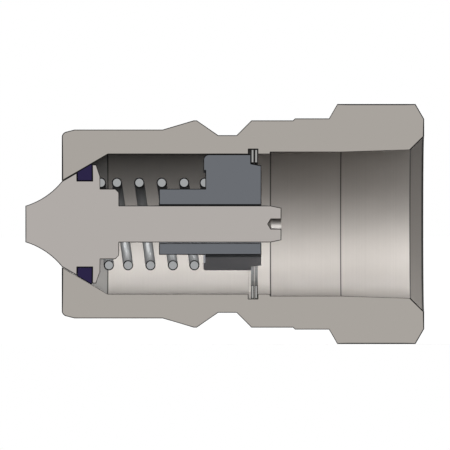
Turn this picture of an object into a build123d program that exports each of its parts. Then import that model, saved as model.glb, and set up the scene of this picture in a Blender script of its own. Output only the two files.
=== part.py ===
"""Male half of a poppet-type hydraulic quick coupler, size 1/2, with a tapered female pipe port.

The coupler lies on its side. Its axis is X: the nose points to -X and the port opens to +X. The origin
is on the axis, at the rear end of the nose's cylinder, as far as the female half's bore slides over it.
Two of the hexagon's flats face up and down.
Lengths are in millimetres, angles in degrees, and the poppet is drawn closed, on its seat.
"""
import os
from math import cos, radians, sqrt, tan

from build123d import *

os.makedirs("parts", exist_ok=True)

# Hexagon, shank and collar at the port end of the body
body_length = 45.3
hex_across_flats = 30.0
hex_length = 11.9
hex_end_diameter = 26.25
hex_chamfer_angle = 30.0
turning_allowance = 0.5
shank_diameter = 26.4
shank_length = 4.5
shank_step_length = 0.25
collar_diameter = 25.9

# Locking groove for the socket's balls, and the ridge in front of it
ball_groove_diameter = 22.2
ball_groove_width = 2.3
ball_groove_rear_length = 1.85
ridge_rear_length = 2.67
ridge_width = 0.4
ridge_front_length = 3.88

# Nose that enters the socket
nose_diameter = 23.6
nose_length = 12.6
nose_lead_length = 1.6
nose_lead_angle = 14.0
nose_corner_radius = 0.7

# Port: chamfer, tapered wall for the pipe thread (1 in 16 on diameter) and straight bore behind it
port_chamfer = 1.7
port_taper = 1 / 16
port_taper_length = 8.7
port_bore_diameter = 18.0
port_bore_length = 8.8

# Spring chamber, valve seat and the groove for the retaining ring
chamber_diameter = 17.5
seat_mouth_diameter = 10.9
seat_half_angle = 30.0
ring_land = 1.6
ring_groove_width = 1.15
ring_groove_diameter = 18.75

# Spiral retaining ring: one flat wire coiled in two turns, with a short ramp between them
leaf_thickness = 0.4
leaf_gap = 0.05
ring_width = 1.7
ring_ramp_angle = 24.0
ring_start_angle = 168.0

# Valve guide: a hub on three arms
pilot_diameter = 8.8
hub_reach = 5.8
arm_count = 3
arm_width = 3.9
arm_length = 5.95
arm_corner_radius = 0.7
arm_edge_chamfer = 0.25
passage_floor = 3.85
passage_fillet = 3.3
spigot_length = 1.3
spigot_taper = 0.25
spring_seat_depth = 0.25
spring_seat_diameter = 13.35

# Poppet: head with the sealing cone, spring pilot and guided stem
tip_diameter = 4.55
tip_reach = 4.55
tip_arc_radius = 9.3
seal_groove_width = 1.9
seal_groove_depth = 2.025
seal_rise = 0.19
flange_diameter = 14.85
flange_width = 0.5
flange_back_depth = 0.5
flange_back_diameter = 11.95
pilot_length = 2.36
pilot_chamfer = 0.45
stem_diameter = 4.6
stem_length = 20.3
stem_end_length = 1.35
stem_end_diameter = 4.05
stem_hole_diameter = 1.2
stem_hole_depth = 1.3
drill_point_angle = 118.0

# Spring: left-hand coil, its end turns closer than the active ones and ground flat on their seats
wire_diameter = 1.27
active_turns = 3
front_turn_share = 0.715
rear_turn_share = 0.92
ground_depth = 0.09
tail_angle = 85.0

# Clearances
seat_clearance = 0.1
seal_clearance = 0.02
stem_clearance = 0.1
guide_clearance = 0.05
ring_clearance = 0.025
spigot_clearance = 0.1
spring_clearance = 0.125


def run(rise, angle):
    """Length along the axis in which a slope at this angle to it rises so far."""
    return rise / tan(radians(angle))


def seat_radius(x, clearance):
    """Radius at x of the seat's cone, less a clearance measured square to the cone."""
    slope = radians(seat_half_angle)
    return seat_mouth_radius + (x - nose_face) * tan(slope) - clearance / cos(slope)


def seat_station(radius, clearance):
    """The x where the cone of seat_radius has this radius."""
    return nose_face + run(radius - seat_radius(nose_face, clearance), seat_half_angle)


def around_axis(angle):
    """Plane through the axis, turned about it: its local x is the axis and its local y the radius."""
    return Plane.XY.rotated((angle, 0, 0))


# Radii of the body
end_radius = hex_end_diameter / 2
shank_radius = shank_diameter / 2
collar_radius = collar_diameter / 2
ball_groove_radius = ball_groove_diameter / 2
nose_radius = nose_diameter / 2
nose_face_radius = nose_radius - nose_lead_length * tan(radians(nose_lead_angle))
port_bore_radius = port_bore_diameter / 2
port_mouth_radius = port_bore_radius + port_taper_length * port_taper / 2
chamber_radius = chamber_diameter / 2
seat_mouth_radius = seat_mouth_diameter / 2
ring_groove_radius = ring_groove_diameter / 2

# Stations of the body along the axis: the locking groove from the origin, the rest from the two end faces
nose_face = -nose_length
nose_front = nose_face + nose_lead_length
ridge_front = ridge_front_length
ridge_rear = ridge_front + ridge_width
ball_groove_front = ridge_rear + ridge_rear_length
ball_groove_rear = ball_groove_front + ball_groove_width
collar_front = ball_groove_rear + ball_groove_rear_length
end_face = nose_face + body_length
hex_front = end_face - hex_length
shank_front = hex_front - shank_length
port_mouth = end_face - port_chamfer
taper_front = port_mouth - port_taper_length
chamber_rear = taper_front - port_bore_length
ring_groove_rear = chamber_rear - ring_land
ring_groove_front = ring_groove_rear - ring_groove_width
seat_rear = nose_face + run(chamber_radius - seat_mouth_radius, seat_half_angle)

# Stations of the guide, which the spring holds against the retaining ring
ring_thickness = 2 * leaf_thickness + leaf_gap
guide_shoulder = ring_groove_rear - ring_thickness
guide_rear = guide_shoulder + spigot_length
arm_front = guide_shoulder - arm_length
guide_seat = arm_front + spring_seat_depth
hub_front = guide_seat - hub_reach

# Stations of the poppet, which comes to rest where its seal, proud of the flange, meets the seat
flange_radius = flange_diameter / 2
seal_groove_radius = flange_radius - seal_groove_depth
seal_rear = seat_station(flange_radius + seal_rise, seal_clearance)
seal_front = seal_rear - seal_groove_width
tip_face = nose_face - tip_reach
flange_rear = seal_rear + flange_width
poppet_seat = flange_rear + flange_back_depth
pilot_rear = poppet_seat + pilot_length
stem_end = pilot_rear + stem_length
stroke = hub_front - pilot_rear


# Body: one piece of hexagon bar, turned outside and bored from the port
with BuildPart() as body:
    with BuildSketch(Plane.YZ.offset(hex_front)):
        hexagon = RegularPolygon(hex_across_flats / 2, 6, major_radius=False)
    extrude(amount=hex_length)
    # the turned chamfers take the six corners off at both ends
    corner_radius = hexagon.radius + turning_allowance
    front_run = (corner_radius - shank_radius) * tan(radians(hex_chamfer_angle))
    rear_run = (corner_radius - end_radius) * tan(radians(hex_chamfer_angle))
    with BuildSketch(Plane.XZ):
        with BuildLine():
            Polyline(
                (hex_front, 0),
                (hex_front, shank_radius),
                (hex_front + front_run, corner_radius),
                (end_face - rear_run, corner_radius),
                (end_face, end_radius),
                (end_face, 0),
                close=True,
            )
        make_face()
    revolve(axis=Axis.X, mode=Mode.INTERSECT)
    # nose, ridge, locking groove, collar and shank
    with BuildSketch(Plane.XZ):
        with BuildLine():
            FilletPolyline(
                (nose_face, 0),
                (nose_face, nose_face_radius),
                (nose_front, nose_radius),
                (0, nose_radius),
                (ridge_front, collar_radius),
                (ridge_rear, collar_radius),
                (ball_groove_front, ball_groove_radius),
                (ball_groove_rear, ball_groove_radius),
                (collar_front, collar_radius),
                (shank_front, collar_radius),
                (shank_front + shank_step_length, shank_radius),
                (hex_front, shank_radius),
                (hex_front, 0),
                radius=[nose_corner_radius] + [0] * 10,
            )
            Line((hex_front, 0), (nose_face, 0))
        make_face()
    revolve(axis=Axis.X)
    # the whole bore, from the seat's mouth to the port's chamfer
    with BuildSketch(Plane.XZ):
        with BuildLine():
            Polyline(
                (nose_face, 0),
                (nose_face, seat_mouth_radius),
                (seat_rear, chamber_radius),
                (ring_groove_front, chamber_radius),
                (ring_groove_front, ring_groove_radius),
                (ring_groove_rear, ring_groove_radius),
                (ring_groove_rear, chamber_radius),
                (chamber_rear, chamber_radius),
                (chamber_rear, port_bore_radius),
                (taper_front, port_bore_radius),
                (port_mouth, port_mouth_radius),
                (end_face, port_mouth_radius + port_chamfer),
                (end_face, 0),
                close=True,
            )
        make_face()
    revolve(axis=Axis.X, mode=Mode.SUBTRACT)
body.part.label = "body"
export_step(body.part, "parts/body.step")

# Poppet: head, spring pilot and stem turned in one piece
stem_radius = stem_diameter / 2
pilot_radius = pilot_diameter / 2
with BuildPart() as poppet:
    with BuildSketch(Plane.XZ):
        with BuildLine():
            tip_arc = RadiusArc(
                (tip_face, tip_diameter / 2),
                (nose_face, seat_radius(nose_face, seat_clearance)),
                -tip_arc_radius,
            )
            Polyline(
                tip_arc @ 1,
                (seal_front, seat_radius(seal_front, seat_clearance)),
                (seal_front, seal_groove_radius),
                (seal_rear, seal_groove_radius),
                (seal_rear, flange_radius),
                (flange_rear, flange_radius),
                (poppet_seat, flange_back_diameter / 2),
                (poppet_seat, pilot_radius),
                (pilot_rear - pilot_chamfer, pilot_radius),
                (pilot_rear, pilot_radius - pilot_chamfer),
                (pilot_rear, stem_radius),
                (stem_end - stem_end_length, stem_radius),
                (stem_end, stem_end_diameter / 2),
                (stem_end, 0),
                (tip_face, 0),
                tip_arc @ 0,
            )
        make_face()
    revolve(axis=Axis.X)
    # centre hole in the end of the stem, with the drill's point at its bottom
    hole_radius = stem_hole_diameter / 2
    hole_floor = stem_end - stem_hole_depth
    with BuildSketch(Plane.XZ):
        with BuildLine():
            Polyline(
                (stem_end, 0),
                (stem_end, hole_radius),
                (hole_floor, hole_radius),
                (hole_floor - run(hole_radius, drill_point_angle / 2), 0),
                close=True,
            )
        make_face()
    revolve(axis=Axis.X, mode=Mode.SUBTRACT)
poppet.part.label = "poppet"
export_step(poppet.part, "parts/poppet.step")

# Poppet seal: a ring that fills its groove and stands proud of the metal, up to the seat's cone
with BuildPart() as poppet_seal:
    with BuildSketch(Plane.XZ):
        with BuildLine():
            Polyline(
                (seal_front, seal_groove_radius),
                (seal_front, seat_radius(seal_front, seal_clearance)),
                (seal_rear, flange_radius + seal_rise),
                (seal_rear, seal_groove_radius),
                close=True,
            )
        make_face()
    revolve(axis=Axis.X)
poppet_seal.part.label = "poppet_seal"
export_step(poppet_seal.part, "parts/poppet_seal.step")

# Spring: each half turn is an arc in a plane tilted by the pitch, so every turn runs smoothly into
# the next, whatever their pitches are; grinding then leaves a flat on both ends
wire_radius = wire_diameter / 2
spring_radius = pilot_radius + spring_clearance + wire_radius
installed_length = guide_seat - poppet_seat
turn_shares = active_turns + front_turn_share + rear_turn_share
active_pitch = (installed_length - 2 * ground_depth) / turn_shares
front_pitch = active_pitch * front_turn_share
rear_pitch = active_pitch * rear_turn_share
half_turns = [front_pitch / 2] * 2 + [active_pitch / 2] * 2 * active_turns + [rear_pitch / 2] * 2


def bend_axis(x, side, advance):
    """Axis of the half turn that leaves x on this side, 1 above and -1 below, left-handed towards +X."""
    return Axis((x + advance / 2, 0, 0), (-2 * spring_radius, 0, -side * advance))


with BuildPart() as spring:
    wire_x = poppet_seat + ground_depth
    side = 1
    # the tail in front of the first turn, which the grinding thins
    with BuildSketch(Plane.XZ):
        with Locations((wire_x, spring_radius)):
            Circle(wire_radius)
    front_bend = bend_axis(wire_x - front_pitch / 2, -side, front_pitch / 2)
    revolve(axis=front_bend.reverse(), revolution_arc=tail_angle)
    for advance in half_turns:
        with BuildSketch(Plane.XZ):
            with Locations((wire_x, side * spring_radius)):
                Circle(wire_radius)
        revolve(axis=bend_axis(wire_x, side, advance), revolution_arc=180)
        wire_x += advance
        side = -side
    # the tail behind the last turn
    with BuildSketch(Plane.XZ):
        with Locations((wire_x, side * spring_radius)):
            Circle(wire_radius)
    revolve(axis=bend_axis(wire_x, side, rear_pitch / 2), revolution_arc=tail_angle)
    split(bisect_by=Plane.YZ.offset(poppet_seat), keep=Keep.TOP)
    split(bisect_by=Plane.YZ.offset(guide_seat), keep=Keep.BOTTOM)
spring.part.label = "spring"
export_step(spring.part, "parts/spring.step")

# Valve guide: turned as a stepped disc, then milled through with a passage between each two arms
rim_radius = chamber_radius - guide_clearance
ring_outer_radius = ring_groove_radius - ring_clearance
ring_inner_radius = ring_outer_radius - ring_width
spigot_radius = ring_inner_radius - spigot_clearance
guide_bore_radius = stem_radius + stem_clearance
passage_half_angle = 180 / arm_count
wall_slope = tan(radians(passage_half_angle))
wall_foot = arm_width / 2 / cos(radians(passage_half_angle))
passage_top = rim_radius + arm_width
floor_half = passage_floor * wall_slope - wall_foot
top_half = passage_top * wall_slope - wall_foot

# a passage has a flat floor and a wall along each arm, and opens at the rim
with BuildSketch() as passage:
    with BuildLine():
        FilletPolyline(
            (passage_top, top_half),
            (passage_floor, floor_half),
            (passage_floor, -floor_half),
            (passage_top, -top_half),
            radius=passage_fillet,
        )
        Line((passage_top, -top_half), (passage_top, top_half))
    make_face()

with BuildPart() as valve_guide:
    with BuildSketch(Plane.XZ):
        with BuildLine():
            FilletPolyline(
                (hub_front, guide_bore_radius),
                (hub_front, pilot_radius),
                (guide_seat, pilot_radius),
                (guide_seat, spring_seat_diameter / 2),
                (arm_front, spring_seat_diameter / 2),
                (arm_front, rim_radius),
                (guide_shoulder, rim_radius),
                (guide_shoulder, spigot_radius),
                (guide_rear, spigot_radius - spigot_taper),
                (guide_rear, guide_bore_radius),
                radius=[0, 0, 0, 0, arm_corner_radius, 0, 0, 0],
            )
            Line((guide_rear, guide_bore_radius), (hub_front, guide_bore_radius))
        make_face()
    revolve(axis=Axis.X)
    rim_corner = sqrt(rim_radius**2 - (arm_width / 2) ** 2)
    chamfer_side = arm_edge_chamfer * sqrt(2)
    with BuildSketch(Plane.YZ.offset(hub_front)):
        with PolarLocations(0, arm_count, start_angle=90 + passage_half_angle):
            add(passage.sketch)
        # squares on their corners chamfer the long outer edges of the arms
        with PolarLocations(0, arm_count, start_angle=90):
            with Locations((rim_corner, arm_width / 2), (rim_corner, -arm_width / 2)):
                Rectangle(chamfer_side, chamfer_side, rotation=45)
    extrude(amount=guide_rear - hub_front, mode=Mode.SUBTRACT)
valve_guide.part.label = "valve_guide"
export_step(valve_guide.part, "parts/valve_guide.step")

# Retaining ring: the rear leaf, the ramp and the front leaf, all of one flat wire
leaf_arc = 360 - ring_ramp_angle
leaf_step = leaf_thickness + leaf_gap
rear_leaf_x = ring_groove_rear - leaf_thickness / 2
ring_mean_radius = ring_outer_radius - ring_width / 2
ramp_pitch = leaf_step * 360 / ring_ramp_angle
ramp_path = Pos(rear_leaf_x - leaf_step, 0, 0) * Rot(ring_start_angle - 90, 0, 0) * Helix(
    ramp_pitch, leaf_step, ring_mean_radius, direction=(1, 0, 0)
)
with BuildPart() as retaining_ring:
    for leaf_x in (rear_leaf_x, rear_leaf_x - leaf_step):
        with BuildSketch(around_axis(ring_start_angle + ring_ramp_angle)):
            with Locations((leaf_x, ring_mean_radius)):
                Rectangle(leaf_thickness, ring_width)
        revolve(axis=Axis.X, revolution_arc=leaf_arc)
    with BuildSketch(around_axis(ring_start_angle)):
        with Locations((rear_leaf_x - leaf_step, ring_mean_radius)):
            Rectangle(leaf_thickness, ring_width)
    sweep(path=ramp_path, is_frenet=True)
retaining_ring.part.label = "retaining_ring"
export_step(retaining_ring.part, "parts/retaining_ring.step")

print(f"poppet stroke {stroke:.2f} mm, spring fitted at {installed_length:.2f} mm")
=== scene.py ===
# %% [markdown]
# # Male half of a hydraulic quick coupler
# The coupler is a hexagon body with a sprung valve inside. The photograph is a section through its axis,
# and the model is the whole coupler, so the cut belongs to the camera: its near limit lies in the plane
# of the axis, and whatever stands in front of that plane is not drawn. Everything else is as on the
# real object, and shows whole in every other view.

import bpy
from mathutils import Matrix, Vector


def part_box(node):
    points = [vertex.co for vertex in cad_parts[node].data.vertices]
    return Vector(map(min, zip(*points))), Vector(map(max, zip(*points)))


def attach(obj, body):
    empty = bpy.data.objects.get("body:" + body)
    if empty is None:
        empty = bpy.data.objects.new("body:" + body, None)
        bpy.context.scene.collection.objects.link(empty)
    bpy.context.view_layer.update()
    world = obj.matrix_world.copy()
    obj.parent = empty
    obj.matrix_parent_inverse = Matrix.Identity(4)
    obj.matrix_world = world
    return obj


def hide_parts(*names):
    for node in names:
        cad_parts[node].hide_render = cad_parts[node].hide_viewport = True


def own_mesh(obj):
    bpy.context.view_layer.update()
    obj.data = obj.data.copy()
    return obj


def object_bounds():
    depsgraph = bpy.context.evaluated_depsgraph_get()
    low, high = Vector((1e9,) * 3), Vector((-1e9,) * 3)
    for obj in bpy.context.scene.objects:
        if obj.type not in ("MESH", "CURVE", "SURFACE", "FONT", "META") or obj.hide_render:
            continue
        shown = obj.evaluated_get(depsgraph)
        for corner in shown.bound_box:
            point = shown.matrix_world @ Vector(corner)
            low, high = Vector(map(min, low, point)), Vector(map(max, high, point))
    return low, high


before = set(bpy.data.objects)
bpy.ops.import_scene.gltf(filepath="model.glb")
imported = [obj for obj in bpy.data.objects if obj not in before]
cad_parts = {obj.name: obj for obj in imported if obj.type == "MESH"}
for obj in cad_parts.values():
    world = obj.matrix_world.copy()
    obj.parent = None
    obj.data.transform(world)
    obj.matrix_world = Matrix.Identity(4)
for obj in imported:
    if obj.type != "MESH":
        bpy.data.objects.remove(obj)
cad_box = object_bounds()
print("CAD box in mm:", [[round(v * 1000, 2) for v in corner] for corner in cad_box])

# %% [markdown]
# ## Units and colours
# The frame is in metres and a maker thinks in millimetres, so lengths are written in mm and times MM.
# Colours are written as they look on a screen, from 0 to 255. Blender's sockets take linear light, so a
# function turns the one into the other. Typing the linear values would save it, but they are hard to
# read and to compare with a picture.

# %% Blender's modules, the millimetre, and colours
from math import pi, radians, tan

import bpy
from mathutils import Vector

MM = 0.001


def srgb(red, green, blue):
    """The colour that is written so on screen, as the linear values that Blender's sockets take."""
    steps = [level / 255 for level in (red, green, blue)]
    return tuple(s / 12.92 if s <= 0.04045 else ((s + 0.055) / 1.055) ** 2.4 for s in steps) + (1.0,)


print("middle grey is", [round(level, 3) for level in srgb(128, 128, 128)])

# %% [markdown]
# ## Camera
# The section is seen square on, so the camera looks along +Y at the height of the axis. It stands far
# off with a long lens, as a drawing has no perspective. Cutting the solids with a boolean would show the
# same section, but would leave half a coupler in every other view. So the camera's near limit equals its
# distance from the axis, and behind it the camera looks into the open walls of whole solids.

# %% The camera that cuts at the axis
view_centre = Vector((7.8 * MM, 0, -0.125 * MM))
view_width = 56.25 * MM
camera_distance = 2.4
sensor_width = 36.0

camera_data = bpy.data.cameras.new("section_camera")
camera_data.sensor_width = sensor_width
camera_data.lens = sensor_width * camera_distance / view_width
camera_data.clip_start = camera_distance
camera_data.clip_end = 60.0
camera = bpy.data.objects.new("section_camera", camera_data)
camera.location = view_centre - Vector((0, camera_distance, 0))
camera.rotation_euler = (pi / 2, 0, 0)
bpy.context.scene.collection.objects.link(camera)
bpy.context.scene.camera = camera
bpy.context.scene.view_settings.view_transform = "Standard"
print("lens", camera_data.lens, "mm, near limit", camera_data.clip_start, "m")

# %% [markdown]
# ## Lamps
# The drawing lights every surface by the way it faces, also deep inside the bore. Area lamps round a real
# bench would leave the bore black. Lamps that cast no shadow reach it through the wall that the section
# leaves out. Their light isn't passed on from wall to wall, or the bore's dark upper side would fill with
# it. One more lamp, behind and above, casts the soft shadow on the floor and lights the back.

# %% Lamps
def sun_lamp(name, towards, strength, spread, shadow):
    """A sun whose light comes from this direction, spread over this many degrees."""
    data = bpy.data.lights.new(name, "SUN")
    data.energy = strength
    data.angle = radians(spread)
    data.use_shadow = shadow
    if not shadow:
        data.cycles.use_multiple_importance_sampling = False
        data.cycles.max_bounces = 0
    lamp = bpy.data.objects.new(name, data)
    lamp.rotation_euler = Vector(towards).to_track_quat("Z", "Y").to_euler()
    bpy.context.scene.collection.objects.link(lamp)


sun_lamp("key_lamp", (-0.32, -0.27, 0.91), 1.0, 40, shadow=False)
sun_lamp("front_lamp", (0.12, -0.70, 0.71), 0.6, 40, shadow=False)
sun_lamp("fill_lamp", (0.16, -0.96, 0.25), 0.4, 40, shadow=False)
sun_lamp("top_lamp", (0.12, 0.32, 0.94), 0.4, 40, shadow=False)
sun_lamp("low_lamp", (-0.32, -0.88, -0.34), 0.26, 40, shadow=False)
sun_lamp("back_lamp", (-0.35, 0.62, 0.70), 1.0, 20, shadow=True)

# %% [markdown]
# ## Shader sums
# The white ground and the finishes follow rays and places: a glow that only the camera meets, rings
# along the axis, streaks on the flats. Written as nodes by hand that is long, so a small class lets sums
# on sockets be written as Python, and one method adds every other node.

# %% Sums on sockets
class Shade:
    """A socket in a material, on which sums are written as Python."""

    def __init__(self, tree, socket=None):
        self.tree, self.socket = tree, socket

    def feed(self, socket, value):
        """Gives an input socket its link or its value."""
        if isinstance(value, Shade):
            self.tree.links.new(value.socket, socket)
        else:
            socket.default_value = value

    def node(self, kind, inputs=(), output=0, **settings):
        """Adds a node, gives it its settings first and then its sockets' values or links."""
        node = self.tree.nodes.new("ShaderNode" + kind)
        for name, value in settings.items():
            setattr(node, name, value)
        for key, value in dict(inputs).items():
            self.feed(node.inputs[key], value)
        return Shade(self.tree, node.outputs[output])

    def math(self, operation, *values):
        return self.node("Math", enumerate(values), operation=operation)

    def __add__(self, other):
        return self.math("ADD", self, other)

    def __sub__(self, other):
        return self.math("SUBTRACT", self, other)

    def __rsub__(self, other):
        return self.math("SUBTRACT", other, self)

    def __mul__(self, other):
        return self.math("MULTIPLY", self, other)

    __radd__, __rmul__ = __add__, __mul__

    def __abs__(self):
        return self.math("ABSOLUTE", self)

    def over(self, low, high):
        """0 below low and 1 above high, with a soft step between them."""
        limits = {"Value": self, "From Min": low, "From Max": high}
        return self.node("MapRange", limits, interpolation_type="SMOOTHSTEP")


# %% [markdown]
# ## World
# The drawing stands on white. A world that is white to everything would light the object from all sides
# and flatten it, so it is white only where it is seen, and lights the object with a faint grey. A white
# wall behind the object would also do, but not for a camera that goes round it.

# %% White where it is seen, and a faint grey as light
def seen(shade):
    """1 for a ray that looks, from the camera, in a reflection or through glass, and 0 for light."""
    camera_ray = shade.node("LightPath", output="Is Camera Ray")
    glossy_ray = shade.node("LightPath", output="Is Glossy Ray")
    passed_ray = shade.node("LightPath", output="Is Transmission Ray")
    return shade.math("MAXIMUM", shade.math("MAXIMUM", camera_ray, glossy_ray), passed_ray)


ambient_level = 0.07
world = bpy.data.worlds.new("studio")
bpy.context.scene.world = world
world.use_nodes = True
sky = Shade(world.node_tree)
backdrop = world.node_tree.nodes["Background"]
sky.feed(backdrop.inputs["Color"], (1, 1, 1, 1))
sky.feed(backdrop.inputs["Strength"], seen(sky) * (1 - ambient_level) + ambient_level)
print("ambient level", ambient_level)

# %% [markdown]
# ## Floor
# A plain pale floor carries the coupler on its lower flat. Painted white it would throw too much light
# back at the object, so it is a light grey, and a little glow, which only looking rays meet, lifts it to
# white. It still takes the shadow. It lies a hair below the flat, as two faces in one plane would mix.

# %% The floor
floor_level = cad_box[0][2] - 0.02 * MM
floor_grey = 0.78
floor_glow = 0.34
bpy.ops.object.select_all(action="DESELECT")
bpy.ops.mesh.primitive_plane_add(size=40.0, location=(0, 0, floor_level))
floor = bpy.context.object
floor.name = "floor"
floor_finish = bpy.data.materials.new("floor_paper")
floor_finish.use_nodes = True
paper = Shade(floor_finish.node_tree)
diffuse = paper.node("BsdfDiffuse", {"Color": (floor_grey, floor_grey, floor_grey, 1)})
glow = paper.node("Emission", {"Color": (1, 1, 1, 1), "Strength": seen(paper) * floor_glow})
both = paper.node("AddShader", {0: diffuse, 1: glow})
paper.feed(paper.tree.nodes["Material Output"].inputs["Surface"], both)
floor.data.materials.append(floor_finish)
print("floor at z", round(floor_level / MM, 2), "mm")

# %% [markdown]
# ## What the finishes share
# Pictures of steel would need one for each surface, laid on without a seam. Noise that follows the
# object's own coordinates needs none and fits every turned face: a lathe's rings are a noise on the
# place along the axis and the radius together, so they run over cylinders, cones and end faces alike.

# %% What every finish starts from
class Finish(Shade):
    """A material in progress: places on the object in mm, and the patterns that machining leaves."""

    def __init__(self, name):
        self.material = bpy.data.materials.new(name)
        self.material.use_nodes = True
        self.material.cycles.emission_sampling = "NONE"
        super().__init__(self.material.node_tree)
        self.surface = self.tree.nodes["Principled BSDF"]
        place = self.node("TexCoord", output="Object")
        self.place = self.node("VectorMath", {0: place, "Scale": 1 / MM}, operation="SCALE")
        self.x, self.y, self.z = (self.node("SeparateXYZ", {0: self.place}, axis) for axis in range(3))
        self.radius = self.math("SQRT", self.y * self.y + self.z * self.z)
        self.facing = self.node("NewGeometry", output="True Normal")
        self.facing_x = abs(self.node("SeparateXYZ", {0: self.facing}, 0))

    def noise(self, scale, detail=3.0):
        """Even noise, from 0 to 1, with this many spots to a millimetre."""
        return self.node("TexNoise", {"Vector": self.place, "Scale": scale, "Detail": detail})

    def rings(self, per_mm, lean=1.37):
        """Fine rings that a lathe leaves. The radius counts by lean, so that end faces have them too."""
        along = self.x + self.radius * lean
        sockets = {"W": along, "Scale": per_mm, "Detail": 2.0, "Roughness": 0.65}
        return self.node("TexNoise", sockets, noise_dimensions="1D")

    def near(self, value, place, half_width):
        """1 where value is within half_width of place, with a soft edge as wide again."""
        return 1 - abs(value - place).over(half_width, 2 * half_width)

    def mix(self, factor, first, second):
        """A colour from first to second. The sockets go by number, as several share a name."""
        return self.node("Mix", {0: factor, 6: first, 7: second}, output=2, data_type="RGBA")

    def relief(self, height, depth, edge=0.12):
        """The bump of this height in mm, on a surface whose sharp edges are broken by so many mm."""
        eased = self.node("Bevel", {"Radius": edge * MM}, samples=6)
        sockets = {"Height": height, "Distance": depth * MM, "Strength": 1.0, "Normal": eased}
        return self.node("Bump", sockets)

    def set(self, **sockets):
        """Gives the shader its values and links, by socket name with _ for a space."""
        for name, value in sockets.items():
            self.feed(self.surface.inputs[name.replace("_", " ")], value)


# %% [markdown]
# ## Edges of the section
# A drawing in section has a thin dark line round every cut part. The line belongs to the cut, so it is
# drawn with the cut's plain colour, on the inner side of the walls, and no other view shows it. Its
# place could be written down from the sizes, but taken from the solid it always fits. A copy of the
# node is merged and bisected in the plane of the axis, so that only the cut's own edges are left, and
# limited dissolve joins those in one line.

# %% The edges in which the plane of the axis cuts a part
def section_edges(node, upper_half):
    """Pairs of points in mm, each pair one straight edge of the section."""
    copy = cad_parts[node].copy()
    mesh = copy.data = copy.data.copy()
    bpy.context.scene.collection.objects.link(copy)
    bpy.ops.object.select_all(action="DESELECT")
    bpy.context.view_layer.objects.active = copy
    copy.select_set(True)
    bpy.ops.object.mode_set(mode="EDIT")
    bpy.ops.mesh.select_all(action="SELECT")
    bpy.ops.mesh.remove_doubles(threshold=1e-6)
    bpy.ops.mesh.select_all(action="SELECT")
    bpy.ops.mesh.bisect(
        plane_co=(0, 0, 0), plane_no=(0, 1, 0), clear_inner=True, clear_outer=True, threshold=1e-9
    )
    bpy.ops.mesh.select_all(action="SELECT")
    bpy.ops.mesh.dissolve_limited(angle_limit=radians(0.3))
    bpy.ops.object.mode_set(mode="OBJECT")
    points = [vertex.co / MM for vertex in mesh.vertices]
    edges = [[points[index] for index in edge.vertices] for edge in mesh.edges]
    bpy.data.objects.remove(copy)
    bpy.data.meshes.remove(mesh)
    if upper_half:
        edges = [ends for ends in edges if max(ends[0].z, ends[1].z) > 0]
    print(node, "is cut in", len(edges), "edges")
    return edges


# %% [markdown]
# ## Ink and plain colour of the section
# How near a place is to an edge is worked out in the shader, as its distance from the line between two
# points, so the ink is sharp at any zoom. A thin tube along each edge would also draw it, but would
# stand out of the part in other views. The plain colour and the ink glow by themselves, as a drawing's
# cut has no shading.

# %% Ink near those edges
ink_colour = srgb(10, 10, 10)
ink_width = 0.09


def from_edges(finish, edges, height):
    """Distance in mm from the nearest of these edges of the section, at x and this height."""
    place = finish.node("CombineXYZ", {0: finish.x, 1: 0.0, 2: height})
    nearest = None
    for start, end in edges:
        run = end - start
        offset = finish.node("VectorMath", {0: place, 1: start}, operation="SUBTRACT")
        inputs = {0: offset, 1: run / run.length_squared}
        share = finish.node("VectorMath", inputs, output="Value", operation="DOT_PRODUCT")
        along = finish.node("Clamp", {"Value": share})
        foot = finish.node("VectorMath", {0: run, "Scale": along}, operation="SCALE")
        away = finish.node("VectorMath", {0: offset, 1: foot}, output="Value", operation="DISTANCE")
        nearest = away if nearest is None else finish.math("MINIMUM", nearest, away)
    return nearest


def outline(finish, node, turned):
    """1 on the line round this node's section. A turned part's lower half repeats its upper half."""
    height = abs(finish.z) if turned else finish.z
    inset = from_edges(finish, section_edges(node, upper_half=turned), height)
    return 1 - inset.over(0.7 * ink_width, 1.3 * ink_width)


print("ink", ink_width, "mm wide")


# %% Plain colour on the inner side of the walls
def show_cut(finish, colour, line):
    """Shows a plain colour inside the wall, which only the section lets be seen, and ink on line."""
    inside = finish.node("NewGeometry", output="Backfacing")
    fill = finish.node("Emission", {"Color": colour})
    ink = finish.node("Emission", {"Color": ink_colour})
    section = finish.node("MixShader", {0: line, 1: fill, 2: ink})
    surface = Shade(finish.tree, finish.surface.outputs[0])
    both = finish.node("MixShader", {0: inside, 1: surface, 2: section})
    finish.feed(finish.tree.nodes["Material Output"].inputs["Surface"], both)
    print("finish", finish.material.name, "with", len(finish.tree.nodes), "nodes")


# %% [markdown]
# ## Body: turned steel
# The body is turned from hexagon bar and bright plated. The lathe leaves fine rings on every turned
# face, while the flats keep the long streaks of the drawn bar. Handling polishes the ridge and the
# corners of the hexagon. The plating hardly reaches into the bore, whose steel is painted paler, as
# painted light: the bore gets less light than the outside. The spring chamber and the seat cone are
# painted paler still, as painted light where the lamps reach little. Thin dark lines are painted at the
# steps of the bore and at the rim of the mouth, as painted shade at those edges. The port's chamfer is
# cut last and stays dull, and it is painted darker, as painted shade on a face turned from the lamps.
# Each of these could be a material of its own on faces picked by hand. Masks made from x, the radius and
# the way a face looks do the same in one material, and follow the part if its mesh changes.

# %% Body: the places that its finish goes by, in mm
nose_face = -12.6
seat_rear = -6.88
chamber_rear = 13.5
taper_front = 22.3
chamfer_front = 31.0
end_face = cad_box[1][0] / MM
bore_radius = 9.6
mouth_radius = 10.97
crest_x, crest_radius = 4.1, 12.95
bar_radius = 13.5
corner_radius = 16.7
print("body from x", nose_face, "to", round(end_face, 2), "mm")

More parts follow.
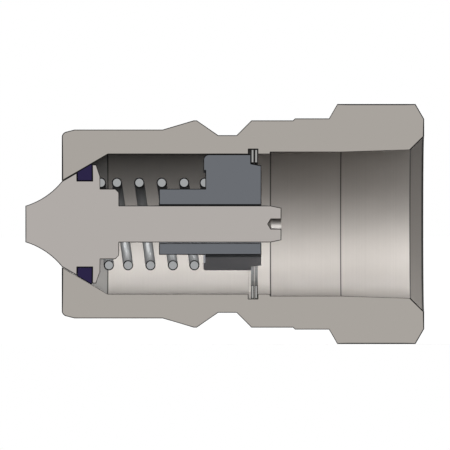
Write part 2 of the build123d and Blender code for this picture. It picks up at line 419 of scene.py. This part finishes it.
# %% Body: masks, each 1 on one kind of surface
body_finish = Finish("turned_steel")
f = body_finish
end_on = f.facing_x.over(0.9, 0.95)
at_nose = 1 - f.x.over(nose_face + 0.1, nose_face + 0.2)
at_port = f.x.over(end_face - 0.2, end_face - 0.1)
ends = end_on * f.math("MAXIMUM", at_nose, at_port)
outside = f.math("MAXIMUM", f.radius.over(mouth_radius + 0.03, mouth_radius + 0.06), ends)
on_flat = f.radius.over(bar_radius, bar_radius + 0.1) * (1 - f.facing_x.over(0.05, 0.1))
crest = f.near(f.radius, crest_radius, 0.05) * f.near(f.x, crest_x, 0.6)
worn = f.math("MAXIMUM", f.radius.over(corner_radius, corner_radius + 0.7), crest)
seat = (1 - f.x.over(seat_rear - 0.02, seat_rear + 0.02)) * (1 - outside)
chamber = 1 - f.x.over(chamber_rear, chamber_rear + 0.05)
in_mouth = 1 - f.radius.over(mouth_radius - 0.07, mouth_radius + 0.03)
chamfer = f.x.over(chamfer_front, chamfer_front + 0.1) * in_mouth * (1 - end_on)
print("masks take", len(f.tree.nodes), "nodes")

# %% Body: marks of lathe and bar, and the lines in the bore
streak_place = f.node("CombineXYZ", {0: f.x * 0.3, 1: f.y * 6.0, 2: f.z * 6.0})
streaks = f.node("TexNoise", {"Vector": streak_place, "Scale": 1.0, "Detail": 3.0})
rings = f.rings(3.5)
marks = rings + on_flat * (streaks - rings)
cloud = f.noise(0.25)
rim = f.x.over(end_face - 0.28, end_face - 0.22) * (1 - f.radius.over(mouth_radius, mouth_radius + 0.03))
bore = 1 - f.radius.over(bore_radius, bore_radius + 0.3)
# Painted shade: dark lines at the bore's steps and the mouth's rim stand in for the shade of those edges.
line = rim * 1.2
for station in (seat_rear, chamber_rear, taper_front, chamfer_front):
    line = line + bore * f.near(f.x, station, 0.05)
print("with marks and lines", len(f.tree.nodes), "nodes")

# %% Body: colours, gloss and section
# Painted light: the bore is painted paler than the plated outside, as it gets less light.
bored = f.mix(marks * 0.4 + cloud * 0.6, srgb(203, 197, 191), srgb(222, 216, 210))
# Painted light: the spring chamber is painted paler still, as its walls get little light.
bored = f.mix(chamber * 0.35, bored, srgb(246, 240, 233))
# Painted light: the seat cone faces away from the key lamp and is painted paler.
bored = f.mix(seat, bored, srgb(230, 227, 223))
# Painted shade: the chamfer faces away from the key lamp and is painted darker.
bored = f.mix(chamfer, bored, srgb(174, 168, 162))
plated = f.mix(marks * 0.6 + cloud * 0.4, srgb(158, 153, 147), srgb(188, 183, 177))
plated = f.mix(worn * 0.6, plated, srgb(214, 210, 205))
steel = f.mix(outside, bored, plated)
f.set(
    Base_Color=f.mix(line * 0.85, steel, srgb(44, 42, 40)),
    Metallic=0.35 + outside * 0.35 - chamfer * 0.35,
    Roughness=0.36 + marks * 0.08 + cloud * 0.08 - worn * 0.14 + chamfer * 0.4,
    Normal=f.relief(marks, 0.004),
)
show_cut(f, srgb(168, 163, 157), outline(f, "body", turned=True))

# %% [markdown]
# ## Poppet: ground steel
# The poppet's stem slides in the guide, so it is ground finer than the body and looks a little lighter.
# The body's finish could serve again, but its rings are too coarse for ground steel, so here they are
# closer and flatter. The tip that the other half pushes on has a polished spot, and the centre hole in
# the stem is given a lighter colour.

# %% Poppet finish
tip = cad_box[0][0] / MM
hole_front, hole_radius = 13.0, 0.6
poppet_finish = Finish("valve_steel")
f = poppet_finish
rings = f.rings(5.0)
cloud = f.noise(0.3)
tip_spot = (1 - f.x.over(tip + 0.05, tip + 0.25)) * (1 - f.radius.over(1.2, 2.0))
near_axis = 1 - f.radius.over(hole_radius + 0.02, hole_radius + 0.06)
hole = f.x.over(hole_front, hole_front + 0.1) * near_axis
ground_steel = f.mix(rings * 0.4 + cloud * 0.6, srgb(170, 165, 160), srgb(194, 190, 185))
f.set(
    Base_Color=f.mix(hole, ground_steel, srgb(212, 208, 203)),
    Metallic=0.6,
    Roughness=0.34 + rings * 0.1 + cloud * 0.06 - tip_spot * 0.1,
    Normal=f.relief(rings, 0.003),
)
show_cut(f, srgb(176, 171, 167), outline(f, "poppet", turned=True))

# %% [markdown]
# ## Valve guide: phosphated steel
# The guide is turned, milled through in three places and phosphated, which leaves a dark, slightly
# blue crystal coat. It is matt, finely mottled, and thin enough to wear bright where the stem slides.
# The milled sides of the arms are painted far paler, as painted light, since the one that shows in the
# section faces down, away from the lamps. Picking them by hand would break when the mesh changes, so
# they are found by their distance from the axis along their own normal: it is half an arm's width, and
# far more on every turned face out there.

# %% Guide finish
guide_bore, arm_foot, half_arm = 2.4, 5.0, 1.95
guide_finish = Finish("guide_steel")
f = guide_finish
rings = f.rings(3.0)
crystals = f.noise(9.0, 2.0)
cloud = f.noise(0.6)
rubbed = 1 - f.radius.over(guide_bore + 0.02, guide_bore + 0.1)
off_axis = abs(f.node("VectorMath", {0: f.facing, 1: f.place}, output="Value", operation="DOT_PRODUCT"))
flank = (1 - off_axis.over(half_arm + 0.25, half_arm + 0.65)) * (1 - f.facing_x.over(0.05, 0.1))
flank_painted_light = f.radius.over(arm_foot, arm_foot + 0.1) * flank
coat = f.mix(crystals * 0.5 + cloud * 0.5, srgb(146, 149, 155), srgb(178, 181, 188))
# Painted light: the arms' milled sides are painted almost white, to lift the side that faces away from
# the lamps.
coat = f.mix(flank_painted_light, coat, srgb(236, 236, 242))
f.set(
    Base_Color=f.mix(rubbed * 0.6, coat, srgb(170, 170, 172)),
    Metallic=0.25,
    Roughness=0.5 + crystals * 0.12 - rubbed * 0.15,
    Normal=f.relief(crystals * 0.6 + rings * 0.4, 0.005),
)
show_cut(f, srgb(106, 109, 114), outline(f, "valve_guide", turned=False))

# %% [markdown]
# ## Retaining ring: rolled flat wire
# The ring is coiled from bright rolled wire, so its marks run round it. A lathe's rings would do from
# afar, but rolling leaves streaks that follow the radius and change little along the turn, with the
# edges smooth from the rolls.

# %% Ring finish
ring_finish = Finish("ring_steel")
f = ring_finish
sockets = {"W": f.radius + f.x * 0.4, "Scale": 6.0, "Detail": 2.0}
roll_marks = f.node("TexNoise", sockets, noise_dimensions="1D")
cloud = f.noise(0.5)
f.set(
    Base_Color=f.mix(roll_marks * 0.5 + cloud * 0.5, srgb(130, 130, 130), srgb(160, 160, 159)),
    Metallic=0.6,
    Roughness=0.3 + roll_marks * 0.12 + cloud * 0.08,
    Normal=f.relief(roll_marks, 0.003, edge=0.08),
)
show_cut(f, srgb(160, 160, 158), outline(f, "retaining_ring", turned=False))

# %% [markdown]
# ## The four finishes go on
# Body, poppet, guide and ring have their true shape in the CAD model. Copies with more detail could
# stand for them, but would add nothing here, so the CAD's own meshes stay and only change their
# material. The old one is taken out first, so that the new one is the first slot, which all faces use.

# %% Finishes go onto the CAD nodes
for node, finish in (
    ("body", body_finish),
    ("poppet", poppet_finish),
    ("valve_guide", guide_finish),
    ("retaining_ring", ring_finish),
):
    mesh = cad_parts[node].data
    mesh.materials.clear()
    mesh.materials.append(finish.material)
    print(node, len(mesh.polygons), "faces in", finish.material.name)

# %% [markdown]
# ## Spring
# The coil is wound from round wire, left-handed, with its end turns closer and ground flat on their
# seats. A helix swept along a curve would do for the coil, but its ends need the change of pitch. Here
# each half turn is spun about an axis that the pitch tilts, as the coiling tool does it, and the two
# flats are then cut with bisect, so the ground faces are flat and sharp at their rim.

# %% Spring sizes, from the node that it replaces
spring_low, spring_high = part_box("spring")
front_seat, rear_seat = spring_low[0], spring_high[0]
fitted = rear_seat - front_seat
wire_diameter, pilot_diameter, pilot_gap = 1.27, 8.8, 0.125
wire_radius = wire_diameter / 2 * MM
coil_radius = (pilot_diameter / 2 + pilot_gap + wire_diameter / 2) * MM
ground_depth = 0.09 * MM
turns = (0.715, 1, 1, 1, 0.92)
tail = radians(85)
pitch = (fitted - 2 * ground_depth) / sum(turns)
half_turns = [turn * pitch / 2 for turn in turns for half in range(2)]
print("fitted length", round(fitted / MM, 3), "mm, pitch", round(pitch / MM, 3), "mm")


# %% A ring of wire, and the tail before the first turn
def half_turn(x, side, advance, angle, steps):
    """Spins the selected ring of wire about the axis of the half turn that leaves x on this side."""
    bpy.ops.mesh.spin(
        steps=steps,
        angle=angle,
        center=(x + advance / 2, 0, 0),
        axis=(2 * coil_radius, 0, side * advance),
    )


wire_x, side = front_seat + ground_depth, 1
bpy.ops.object.select_all(action="DESELECT")
bpy.ops.mesh.primitive_circle_add(
    vertices=28, radius=wire_radius, location=(wire_x, 0, coil_radius), rotation=(pi / 2, 0, 0)
)
spring = bpy.context.object
spring.name = "coil_spring"
bpy.ops.object.transform_apply(location=True, rotation=True, scale=True)
bpy.ops.object.mode_set(mode="EDIT")
bpy.ops.mesh.select_all(action="SELECT")
half_turn(wire_x - half_turns[0], -1, half_turns[0], -tail, 16)
bpy.ops.mesh.edge_face_add()
bpy.ops.mesh.select_all(action="DESELECT")
bpy.ops.object.mode_set(mode="OBJECT")
print("tail of", len(spring.data.polygons), "faces")

# %% Spin the wire half turn by half turn
for vertex in spring.data.vertices:
    vertex.select = abs(vertex.co.y) < 1e-7 and vertex.co.z > 0
bpy.ops.object.mode_set(mode="EDIT")
bpy.ops.mesh.select_mode(type="VERT")
wire_centres = [(wire_x / MM, coil_radius / MM, 0)]
for advance in half_turns:
    half_turn(wire_x, side, advance, pi, 32)
    wire_x += advance
    side = -side
    wire_centres.append((wire_x / MM, side * coil_radius / MM, 0))
half_turn(wire_x, side, half_turns[-1], tail, 16)
bpy.ops.mesh.edge_face_add()
print("wire spun to x", round(wire_x / MM, 3), "mm")

# %% Close the mesh, and grind both ends flat
bpy.ops.mesh.select_all(action="SELECT")
bpy.ops.mesh.remove_doubles(threshold=1e-7)
grinding = 0.01 * MM
for flat, keep_rear in ((front_seat + grinding, True), (rear_seat - grinding, False)):
    bpy.ops.mesh.select_all(action="SELECT")
    bpy.ops.mesh.bisect(
        plane_co=(flat, 0, 0),
        plane_no=(1, 0, 0),
        use_fill=True,
        clear_inner=keep_rear,
        clear_outer=not keep_rear,
        threshold=1e-9,
    )
bpy.ops.mesh.select_all(action="SELECT")
bpy.ops.mesh.normals_make_consistent(inside=False)
bpy.ops.object.mode_set(mode="OBJECT")
bpy.ops.object.shade_smooth_by_angle(angle=radians(20))
print("spring", len(spring.data.vertices), "vertices")

# %% [markdown]
# ## Spring finish: drawn wire
# Spring wire is drawn through a die, so its fine streaks run along the wire. The coil is nearly square
# to the axis, so the place across the wire follows from x and the radius, and a noise on those two
# makes streaks that run round with each turn. The flats are bright from the grinding wheel.
# The ink round each cut of the wire is a circle about the wire's middle, half as wide again as
# elsewhere, or it would be lost on so small a circle. Edges from bisect would do here too, but the
# spring shortens as the valve opens. So each point keeps its place at rest in a UV map, and the
# circles shorten with the wire.

# %% Each point's place at rest, in mm
rest_place = spring.data.uv_layers.new(name="rest_place")
for loop in spring.data.loops:
    place = spring.data.vertices[loop.vertex_index].co / MM
    rest_place.data[loop.index].uv = (place.x, place.z)
print(len(wire_centres), "circles of wire in the section")

# %% Spring finish
spring_finish = Finish("spring_steel")
f = spring_finish
across = f.node("CombineXYZ", {0: f.radius * 7.0, 1: f.x, 2: 0.0})
drawn = f.node("TexNoise", {"Vector": across, "Scale": 1.0, "Detail": 2.0})
cloud = f.noise(0.8)
ground = f.facing_x.over(0.98, 0.995)
f.set(
    Base_Color=f.mix(drawn * 0.5 + cloud * 0.5, srgb(194, 196, 197), srgb(224, 226, 227)),
    Metallic=0.4,
    Roughness=0.34 + drawn * 0.1 + cloud * 0.06 - ground * 0.06,
    Normal=f.relief(drawn, 0.003, edge=0.05),
)
rest = f.node("UVMap", uv_map="rest_place")
from_middle = None
for centre in wire_centres:
    away = f.node("VectorMath", {0: rest, 1: centre}, output="Value", operation="DISTANCE")
    from_middle = away if from_middle is None else f.math("MINIMUM", from_middle, away)
inset = wire_radius / MM - from_middle
show_cut(f, srgb(160, 162, 163), 1 - inset.over(1.3 * ink_width, 1.7 * ink_width))
spring.data.materials.append(spring_finish.material)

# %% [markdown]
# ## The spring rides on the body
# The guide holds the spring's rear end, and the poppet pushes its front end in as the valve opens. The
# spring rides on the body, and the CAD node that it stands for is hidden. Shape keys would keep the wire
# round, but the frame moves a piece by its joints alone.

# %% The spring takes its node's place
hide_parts("spring")
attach(spring, "body")
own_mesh(spring)

# %% [markdown]
# ## Poppet seal
# The seal is a rubber ring that fills a square groove, and its outer face follows the cone of the seat.
# A torus would be quick, but this seal is moulded to its groove and isn't round. Its section is drawn
# as the groove's, its corners are rounded by a bevel, as rubber has no sharp corner, and the section is
# spun once round the axis.

# %% Draw the section of the seal
seal_low, seal_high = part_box("poppet_seal")
slack = 0.015 * MM
flange_diameter, groove_depth = 14.85 * MM, 2.025 * MM
cone_slope = tan(radians(30))
seal_front, seal_rear = seal_low[0] + slack, seal_high[0] - slack
outer_rear = seal_high[2] - slack
outer_front = outer_rear - (seal_rear - seal_front) * cone_slope
inner = flange_diameter / 2 - groove_depth + 2 * slack
corners = [(seal_front, inner), (seal_front, outer_front), (seal_rear, outer_rear), (seal_rear, inner)]
bpy.ops.object.select_all(action="DESELECT")
bpy.ops.mesh.primitive_circle_add(vertices=4, radius=1 * MM)
seal = bpy.context.object
seal.name = "seal_ring"
for vertex, (x, radius) in zip(seal.data.vertices, corners):
    vertex.co = (x, 0, radius)
print("seal from radius", round(inner / MM, 3), "to", round(outer_rear / MM, 3), "mm")

# %% Round the section's corners and spin it
bpy.ops.object.mode_set(mode="EDIT")
bpy.ops.mesh.select_all(action="SELECT")
bpy.ops.mesh.bevel(affect="VERTICES", offset=0.12 * MM, segments=4)
bpy.ops.mesh.select_all(action="SELECT")
bpy.ops.mesh.spin(steps=144, angle=2 * pi, center=(0, 0, 0), axis=(1, 0, 0))
bpy.ops.mesh.select_all(action="SELECT")
bpy.ops.mesh.remove_doubles(threshold=1e-6)
bpy.ops.mesh.normals_make_consistent(inside=False)
bpy.ops.object.mode_set(mode="OBJECT")
bpy.ops.object.shade_smooth_by_angle(angle=radians(40))
print("seal", len(seal.data.vertices), "vertices")

# %% [markdown]
# ## Seal finish: rubber
# Moulded rubber is smooth, dark and half matt, with a faint bluish bloom. One even colour would look
# like paint, so a slow noise lays the bloom over it, and a fine one gives the pores of the mould.

# %% Seal finish
seal_finish = Finish("seal_rubber")
f = seal_finish
bloom = f.noise(1.2)
pores = f.noise(14.0, 2.0)
f.set(
    Base_Color=f.mix(bloom, srgb(34, 31, 54), srgb(52, 47, 78)),
    Roughness=0.48 + bloom * 0.14,
    Normal=f.relief(pores, 0.003, edge=0.02),
)
show_cut(f, srgb(44, 38, 70), outline(f, "poppet_seal", turned=True))
seal.data.materials.append(seal_finish.material)
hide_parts("poppet_seal")
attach(seal, "poppet")
